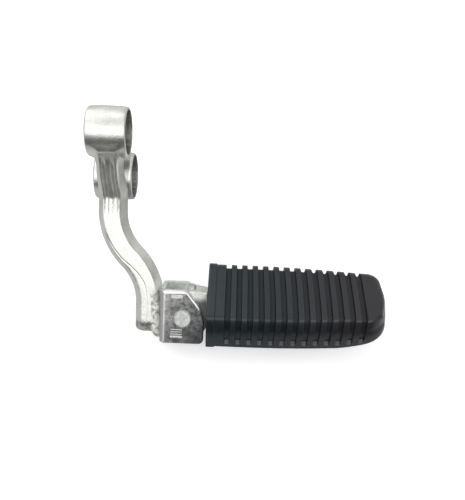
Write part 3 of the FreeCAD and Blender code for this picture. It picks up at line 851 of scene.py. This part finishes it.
def padLines():
    # plan outline from the inner end along one side, round the outer end and back, with inward directions
    corner = np.array([pad["cornerX"], pad["cornerHalf"]])
    inner = np.array([0, pad["half"]])
    tip = np.array([pad["length"], 0])
    flip = np.array([1, -1])
    tipArc, tipIn = arcThrough(corner, tip, corner * flip, pad["tipR"], 25)
    sideEnd = arcThrough(inner, corner, tip, pad["cornerR"], 26)[0][0, 0]
    within = np.array([-2.6, -2.15, -1.95, -1.82, -1.7, -1.6, -1.5, -1.4, -1.28, -1.1, -0.6, 0.0])
    within = join(within, -within[-2::-1])
    centres = pad["first"] + pad["pitch"] * np.arange(pad["grooves"])
    rib = centres[:-1] + pad["pitch"] / 2
    start = np.array([0, 0.04, 0.12, 0.25, 0.5, 1.5, 3.0, 4.4, 4.7, 4.85, 5.0, 5.15, 5.3, 5.6, 7.0, 8.6])
    last = np.linspace(pad["endFrom"], sideEnd, 5)[:-1]
    x = np.unique(np.round(join(start, (centres[:, None] + within).ravel(), rib, last), 4))
    slope = (pad["cornerHalf"] - pad["half"]) / pad["cornerX"]
    lastEdge = centres[-1] + (pad["width"] + pad["soft"]) / 2
    blendIn = np.linspace(0, 1, 6)[1:-1, None]
    halves = []
    for radius in (pad["cornerR"], pad["frontCornerR"]):
        arc, arcIn = arcThrough(inner, corner, tip, radius, 26)
        squeeze = (arc[0, 0] - lastEdge) / (sideEnd - lastEdge)
        sideX = np.where(x > lastEdge, lastEdge + (x - lastEdge) * squeeze, x)
        bow = pad["bow"] * np.sin(math.pi * sideX / sideEnd) ** pad["bowPower"]
        side = columns(sideX, pad["half"] + slope * sideX + bow)
        sideIn = np.zeros_like(side) + np.array([0, -1.0])
        run = arc[-1] + (tipArc[0] - arc[-1]) * blendIn
        runIn = arcIn[-1] + (tipIn[0] - arcIn[-1]) * blendIn
        halves.append((join(side, arc, run), join(sideIn, arcIn, runIn)))
    (rear, rearIn), (front, frontIn) = halves
    line = join(rear, tipArc, front[::-1] * flip)
    inward = join(rearIn, tipIn, frontIn[::-1] * flip)
    return line, inward, sideEnd, len(x)


def groovePart(x, rear):
    # 1 on a groove floor, 0 on a rib, with rounded edges; a groove opens into a vee as rear goes from 0 to 1
    nearest = np.clip(np.round((x - pad["first"]) / pad["pitch"]), 0, pad["grooves"] - 1)
    off = np.abs(x - pad["first"] - pad["pitch"] * nearest)
    low = (pad["width"] - pad["soft"]) / 2
    high = (pad["width"] + pad["soft"]) / 2
    return 1 - smooth(low + (pad["vee"][0] - low) * rear, high + (pad["vee"][1] - high) * rear, off)


def underside(x):
    # height of the underside above its flat: it rises towards the outer end
    t = np.clip((x - pad["bevelStart"]) / (pad["length"] - pad["bevelStart"]), 0, None)
    return pad["bevelRise"] * t ** pad["bevelPower"]


def grooveBow(x, y, z):
    # grooves bow inboard at the rear and low on the front; the ends of the pad stay as they are
    fromCrest = (y + pad["crestY"]) / (pad["half"] + pad["crestY"])
    low = pad["lowBow"] * np.clip(1 - z / pad["height"], 0, 1) * (1 - smooth(*pad["frontY"], y))
    along = smooth(*pad["bowRun"], x) * (1 - smooth(*pad["bowFade"], x))
    return (pad["rearBow"] * fromCrest ** 2 + low) * along


def padWall(line, inward, sideEnd):
    # each outline point carries a profile: bottom edge, wall, tread rounding, tread to the middle line
    wallTop = pad["height"] - pad["treadR"]
    e = pad["edge"]
    a = np.linspace(0, math.pi / 2, 5)
    ledge = pad["ledge"] + pad["ledgeRise"] * np.array([-0.3, -0.06, 0.03, 0.15, 0.5, 0.85, 0.97, 1.06, 1.3])
    low = join([pad["footRow"]], ledge)
    rise = np.linspace(0, 1, 13)
    b = np.linspace(0, math.pi / 2, 17)[1:]
    tread = np.linspace(0, 1, 15)[1:]
    across = join(0 * a, 0 * low, 0 * rise, 0 * b, tread)

    def profile(edge, wall, slope, bend, top):
        return join(edge, wall, slope, bend, 0 * tread + top)

    edgeIn = e - e * np.sin(a)
    edgeUp = e - e * np.cos(a)
    rearUp = pad["rearWall"] + (wallTop - pad["rearWall"]) * rise
    rear = [profile(edgeIn, 0 * low, 0 * rise, pad["treadR"] * (1 - np.cos(b)), pad["treadR"]),
            profile(edgeUp, low, rearUp, wallTop + pad["treadR"] * np.sin(b), pad["height"]),
            profile(0 * a, 0 * low, 0 * rise, b, math.pi / 2)]
    lean0, slant = pad["frontLean"]
    r = pad["frontR"]
    turn = slant + (math.pi / 2 - slant) * b / (math.pi / 2)
    slopeTop = pad["height"] - r * (1 - math.sin(slant))
    slope = pad["frontWall"] + (slopeTop - pad["frontWall"]) * rise
    steep = lean0 + (slant - lean0) * rise
    wallIn = low * math.tan(lean0)
    growth = np.log(math.cos(lean0) / np.cos(steep)) / (slant - lean0)
    slopeIn = slope[0] * math.tan(lean0) + (slope[-1] - slope[0]) * growth
    crown = slopeIn[-1] + r * math.cos(slant)
    front = [profile(edgeIn, wallIn, slopeIn, crown - r * np.cos(turn), crown),
             profile(edgeUp, low, slope, pad["height"] - r + r * np.sin(turn), pad["height"]),
             profile(0 * a, 0 * low + lean0, steep, turn, math.pi / 2)]
    share = smooth(*pad["frontShare"], inward[:, None, 1])
    gx = line[:, None, 0]
    front[0] = front[0] * (1 - pad["cornerPull"] * smooth(*pad["cornerRun"], gx))
    inset, up, tilt = [one + (two - one) * share for one, two in zip(rear, front)]
    inX = inward[:, None, 0]
    inY = inward[:, None, 1]
    x = gx + inX * inset
    y = line[:, None, 1] + inY * inset
    x = x + (np.minimum(gx, sideEnd) - x) * across
    y = y - y * across
    lift = underside(gx)
    z = np.where(up < wallTop, lift + up * (wallTop - lift) / wallTop, up)
    body = pad["collarRise"] * smooth(*pad["collarEnd"], gx)
    vee = (1 - share) * (1 - smooth(*pad["veeTilt"], tilt)) * smooth(*pad["veeRun"], gx)
    groove = groovePart(gx, vee) * (gx < sideEnd) * np.clip((up - pad["ledge"]) / pad["ledgeRise"], 0, 1)
    endRound = np.clip(e - gx, 0, e)
    endRound = e - np.sqrt(e * e - endRound * endRound)
    sink = body + (pad["depth"] - pad["collarRise"]) * groove + endRound
    x = x + inX * np.cos(tilt) * sink
    y = y + inY * np.cos(tilt) * sink
    z = z - np.sin(tilt) * sink
    x = x - grooveBow(x, y, z)
    return columns(x, y, z)


def bottomHalf(ring, boltX):
    # rings from the bolt hole out over the recess and its wall to the outline of half the underside
    angle = np.arctan2(ring[:, 1], ring[:, 0] - boltX)[:, None]
    r = pad["recess"]
    d = pad["recessDepth"]
    radii = np.array([pad["boltHole"], 6.0, r - 0.8, r - 0.25, r, r, r, r + 0.12, r + 0.45])
    heights = np.array([d, d, d, d - 0.12, d - 0.5, d / 2, 0.5, 0.12, 0])
    inner = columns(boltX + radii * np.cos(angle), radii * np.sin(angle), heights)
    t = np.linspace(0, 1, 9)[1:, None]
    outer = inner[:, None, -1] + (ring[:, None] - inner[:, None, -1]) * t
    outer[..., 2] = underside(outer[..., 0])
    outer[:, -1] = ring
    grid = np.concatenate([inner, outer], 1)
    hole = grid[:, :1].copy()
    hole[..., 2] = pad["height"] - pad["slotCover"] - pad["slotHeight"]
    return np.concatenate([hole, grid], 1)


def padEnd(loop):
    # inner end face: rings from the section's edge to the slot for the bar, then a short way in
    centreZ = pad["height"] - pad["slotCover"] - pad["slotHeight"] / 2
    angle = np.arctan2(loop[:, 2] - centreZ, loop[:, 1])
    reach = np.minimum(pad["slotHalf"] / np.maximum(np.abs(np.cos(angle)), noZero),
                       pad["slotHeight"] / 2 / np.maximum(np.abs(np.sin(angle)), noZero))
    slot = columns(0, reach * np.cos(angle), centreZ + reach * np.sin(angle))
    t = np.linspace(0, 1, 6)[None, :, None]
    face = loop[:, None] + (slot[:, None] - loop[:, None]) * t
    deep = slot[:, None] + np.array([pad["slotDeep"], 0, 0])
    shut = np.broadcast_to(np.array([pad["slotDeep"], 0, centreZ]), deep.shape)
    return np.concatenate([face, deep, shut], 1)


def padWorld(points):
    place = np.array([pad["inner"], pad["middle"], pad["top"] - pad["height"]])
    return (points + place) * mm


def rubberPad():
    line, inward, sideEnd, sideCount = padLines()
    wall = padWall(line, inward, sideEnd)
    foot = wall[:, 0]
    splitAt = int(np.argmin(np.abs(line[:sideCount, 0] - (pad["boltFrom"] + pad["boltSpacing"] / 2))))
    last = len(line) - 1 - splitAt
    t = np.linspace(0, 1, 25)[1:-1, None]
    seam = foot[splitAt] + (foot[last] - foot[splitAt]) * t
    joint = np.linspace(0, 1, 19)[1:-1, None]
    close = foot[-1] + (foot[0] - foot[-1]) * joint
    near = join(foot[last:], close, foot[:splitAt + 1], seam)
    far = join(foot[splitAt:last + 1], seam[::-1])
    loop = join(wall[0], wall[-1][::-1][1:], close)
    return [(padWorld(wall), False, False),
            (padWorld(bottomHalf(near, pad["boltFrom"])), True, False),
            (padWorld(bottomHalf(far, pad["boltFrom"] + pad["boltSpacing"])), True, False),
            (padWorld(padEnd(loop)), True, False)]


makePiece("ribbed_pad", rubberPad(), rubber, "footrest", "footrest_rubber", 75)

# Pressed bars on the front cheek, each a low rounded hump: (from the pin, above the pin, long, tall, rise)
bars = {"places": [(-3.6, 13.0, 7.2, 2.9, 0.3), (-3.7, -7.0, 7.0, 0.75, 0.12), (-3.7, -8.5, 7.0, 0.75, 0.12),
                   (-3.7, -9.9, 7.0, 0.75, 0.12), (-3.7, -11.5, 7.4, 1.6, 0.35)],
        "sink": 0.1, "face": 13.0}


def roundedSquare(count=64, power=0.4):
    # points of a square with rounded corners, from -1 to 1
    t = fullTurn(count)
    return [np.sign(part) * np.abs(part) ** power for part in (np.cos(t), np.sin(t))]


def hump(x, y, long, tall, rise):
    # rounded rings that rise from just below the sheet to a flat top
    acrossX, acrossY = roundedSquare()
    share = np.array([1.0, 1.0, 0.96, 0.88, 0.7, 0.0])
    lift = np.array([-bars["sink"], 0.05, 0.7 * rise, 0.94 * rise, rise, rise])
    inset = (1 - share) * tall / 2
    px = pinX + x + acrossX * (long / 2 - inset[:, None])
    py = pinY + y + acrossY * (tall / 2 - inset[:, None])
    return columns(px, py, hangerPlane + bars["face"] + lift[:, None])


marks = [(toWorld(hump(*place)), False, True) for place in bars["places"]]
makePiece("pressed_bars", marks, wearAndHighlight, "hanger", None)

# Stop lug on the tang, between the cheeks
lug = {"x": 4.2, "half": 2.5, "deep": 5.0, "foot": 11.0, "top": 17.6, "round": 1.5}


def stopLug():
    # rounded rings that rise out of the tang to a rounded top
    acrossX, acrossZ = roundedSquare()
    a = np.linspace(0, math.pi / 2, 7)
    inset = join([0], lug["round"] * (1 - np.cos(a)), [lug["half"]])[:, None]
    rounding = lug["top"] - lug["round"] * (1 - np.sin(a))
    height = join([lug["foot"]], rounding, [lug["top"]])[:, None]
    x = pinX + lug["x"] + acrossX * (lug["half"] - inset)
    z = hangerPlane + acrossZ * np.maximum(lug["deep"] - inset, 0)
    return columns(x, pinY + height, z)


makePiece("stop_lug", [(toWorld(stopLug()), False, True)], steel, "footrest", None)

# CAD nodes that keep their own shape
dress("clevis_bracket", sheet)
dress("pivot_pin", steel)
dress("pin_washer", wearAndHighlight)
dress("footrest_core", iron)
dress("pad_bolts", wearAndHighlight)
dress("pad_washers", wearAndHighlight)

# Floor, light and camera, in metres; the floor's look changes between each pair of limits along X or Y
studio = {
    "floorSize": 0.9, "floorDrop": 0.0002, "floorGlow": 0.42, "padGlow": 0.4,
    "roomY": (-0.24, -0.13), "foreY": (-0.10, -0.07), "backY": (0.0, 0.03), "padX": (0.03, 0.07),
    "dim": 0.32, "dimRoom": 0.66, "dimBack": 0.08, "brightPad": 0.3,
    "lampPower": 1.2, "lampSize": 0.8, "lampAt": (-0.35, 0.3, 0.55),
    "cameraAt": (0.07329, -0.28899, 0.24312), "elevation": 50.0, "roll": 2.2,
    "lens": 46.8, "sensor": 36.0, "clip": 0.01,
}


def makeFloor():
    low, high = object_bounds()
    middle = (low + high) / 2
    size = studio["floorSize"]
    corners = [(middle.x + x * size, middle.y + y * size, low.z - studio["floorDrop"])
               for x, y in ((-1, -1), (1, -1), (1, 1), (-1, 1))]
    mesh = bpy.data.meshes.new("floor")
    mesh.from_pydata(corners, [], [[0, 1, 2, 3]])
    floor = addObject("floor", mesh)
    mesh.materials.append(floorPaper())
    floor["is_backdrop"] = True


def floorPaper():
    # pale paper that keeps the object's shadow; metal sees it dimmer, and dark where the room begins; beside
    # the pad metal sees it brighter, with painted light that glows only for reflections
    material, place = newMaterial("floorPaper")
    tree = material.node_tree
    tree.nodes.remove(tree.nodes["Principled BSDF"])
    start = Sock(tree)
    camera, glossy, through = [start.node("ShaderNodeLightPath", output="Is " + kind + " Ray")
                               for kind in ("Camera", "Glossy", "Transmission")]
    y = place.axis("Y")
    roomSide = 1 - y.step(*studio["roomY"])
    foreSide = 1 - y.step(*studio["foreY"])
    backSide = y.step(*studio["backY"])
    nearPad = place.axis("X").step(*studio["padX"]) * (1 - backSide) * (1 - foreSide)
    paper = start.node("ShaderNodeBsdfDiffuse", {"Color": (0.80, 0.80, 0.81, 1.0)})
    shine = camera.most(through) * studio["floorGlow"] + glossy * nearPad * studio["padGlow"]
    glow = start.node("ShaderNodeEmission", {"Strength": shine})
    white = start.node("ShaderNodeAddShader", {0: paper, 1: glow})
    dark = start.node("ShaderNodeBsdfDiffuse", {"Color": (0.06, 0.06, 0.06, 1.0)})
    share = studio["dim"] + studio["dimRoom"] * roomSide + studio["dimBack"] * backSide
    share = glossy * (share - studio["brightPad"] * nearPad)
    both = start.node("ShaderNodeMixShader", {0: share, 1: white, 2: dark})
    tree.links.new(both.out, tree.nodes["Material Output"].inputs["Surface"])
    return material


# Sky: how bright its parts are, and the limits up, to the front or aside between which they change
sky = {
    "base": 0.75, "top": 0.2, "topUp": (0.5, 1.0), "front": (-0.1, 0.45), "frontUp": (0.75, 1.0),
    "roomFront": (0.5, 0.8), "roomUp": (0.26, 0.40), "roomLevel": 0.15,
    "aside": (0.62, 0.86), "asideDim": 0.6, "rightX": (0.5, 0.7), "rightY": (0.1, 0.35), "rightSpare": 0.75,
}


def makeWorld():
    # a bright tent, brightest in front and dimmer at the sides, with a dark room low in front
    world = bpy.data.worlds.new("studio")
    bpy.context.scene.world = world
    world.use_nodes = True
    tree = world.node_tree
    start = Sock(tree)
    way = start.node("ShaderNodeTexCoord", output="Generated")
    x = way.axis("X")
    up = way.axis("Z")
    ahead = 0 - way.axis("Y")
    front = ahead.step(*sky["front"]) * (1 - up.step(*sky["frontUp"]))
    room = ahead.step(*sky["roomFront"]) * (1 - up.step(*sky["roomUp"]))
    tent = sky["base"] + sky["top"] * up.step(*sky["topUp"]) + front
    spare = sky["rightSpare"] * x.step(*sky["rightX"]) * way.axis("Y").step(*sky["rightY"])
    aside = x.apply("ABSOLUTE").step(*sky["aside"]) * (1 - spare)
    light = tent * (1 - sky["asideDim"] * aside) * (1 - room) + sky["roomLevel"] * room
    camera = start.node("ShaderNodeLightPath", output="Is Camera Ray")
    shown = camera + (1 - camera) * light
    background = tree.nodes["Background"]
    background.inputs["Color"].default_value = (1.0, 1.0, 1.0, 1.0)
    shown.feed(background, "Strength", shown)


def makeLamp():
    lamp = bpy.data.lights.new("softbox", "AREA")
    lamp.energy = studio["lampPower"]
    lamp.size = studio["lampSize"]
    holder = addObject("softbox", lamp)
    holder.location = studio["lampAt"]
    low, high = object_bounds()
    holder.rotation_euler = ((low + high) / 2 - holder.location).to_track_quat("-Z", "Y").to_euler()


def makeCamera():
    lens = bpy.data.cameras.new("camera")
    lens.lens = studio["lens"]
    lens.sensor_width = studio["sensor"]
    lens.clip_start = studio["clip"]
    holder = addObject("camera", lens)
    e = math.radians(studio["elevation"])
    r = math.radians(studio["roll"])
    right = np.array([1.0, 0, 0])
    up = np.array([0, math.sin(e), math.cos(e)])
    axisX = right * math.cos(r) + up * math.sin(r)
    axisY = up * math.cos(r) - right * math.sin(r)
    turn = np.eye(4)
    turn[:3, :3] = columns(axisX, axisY, np.cross(axisX, axisY))
    turn[:3, 3] = studio["cameraAt"]
    holder.matrix_world = Matrix(turn.tolist())
    bpy.context.scene.camera = holder


makeFloor()
makeWorld()
makeLamp()
makeCamera()
bpy.context.scene.view_settings.view_transform = "Standard"
print("studio ready")
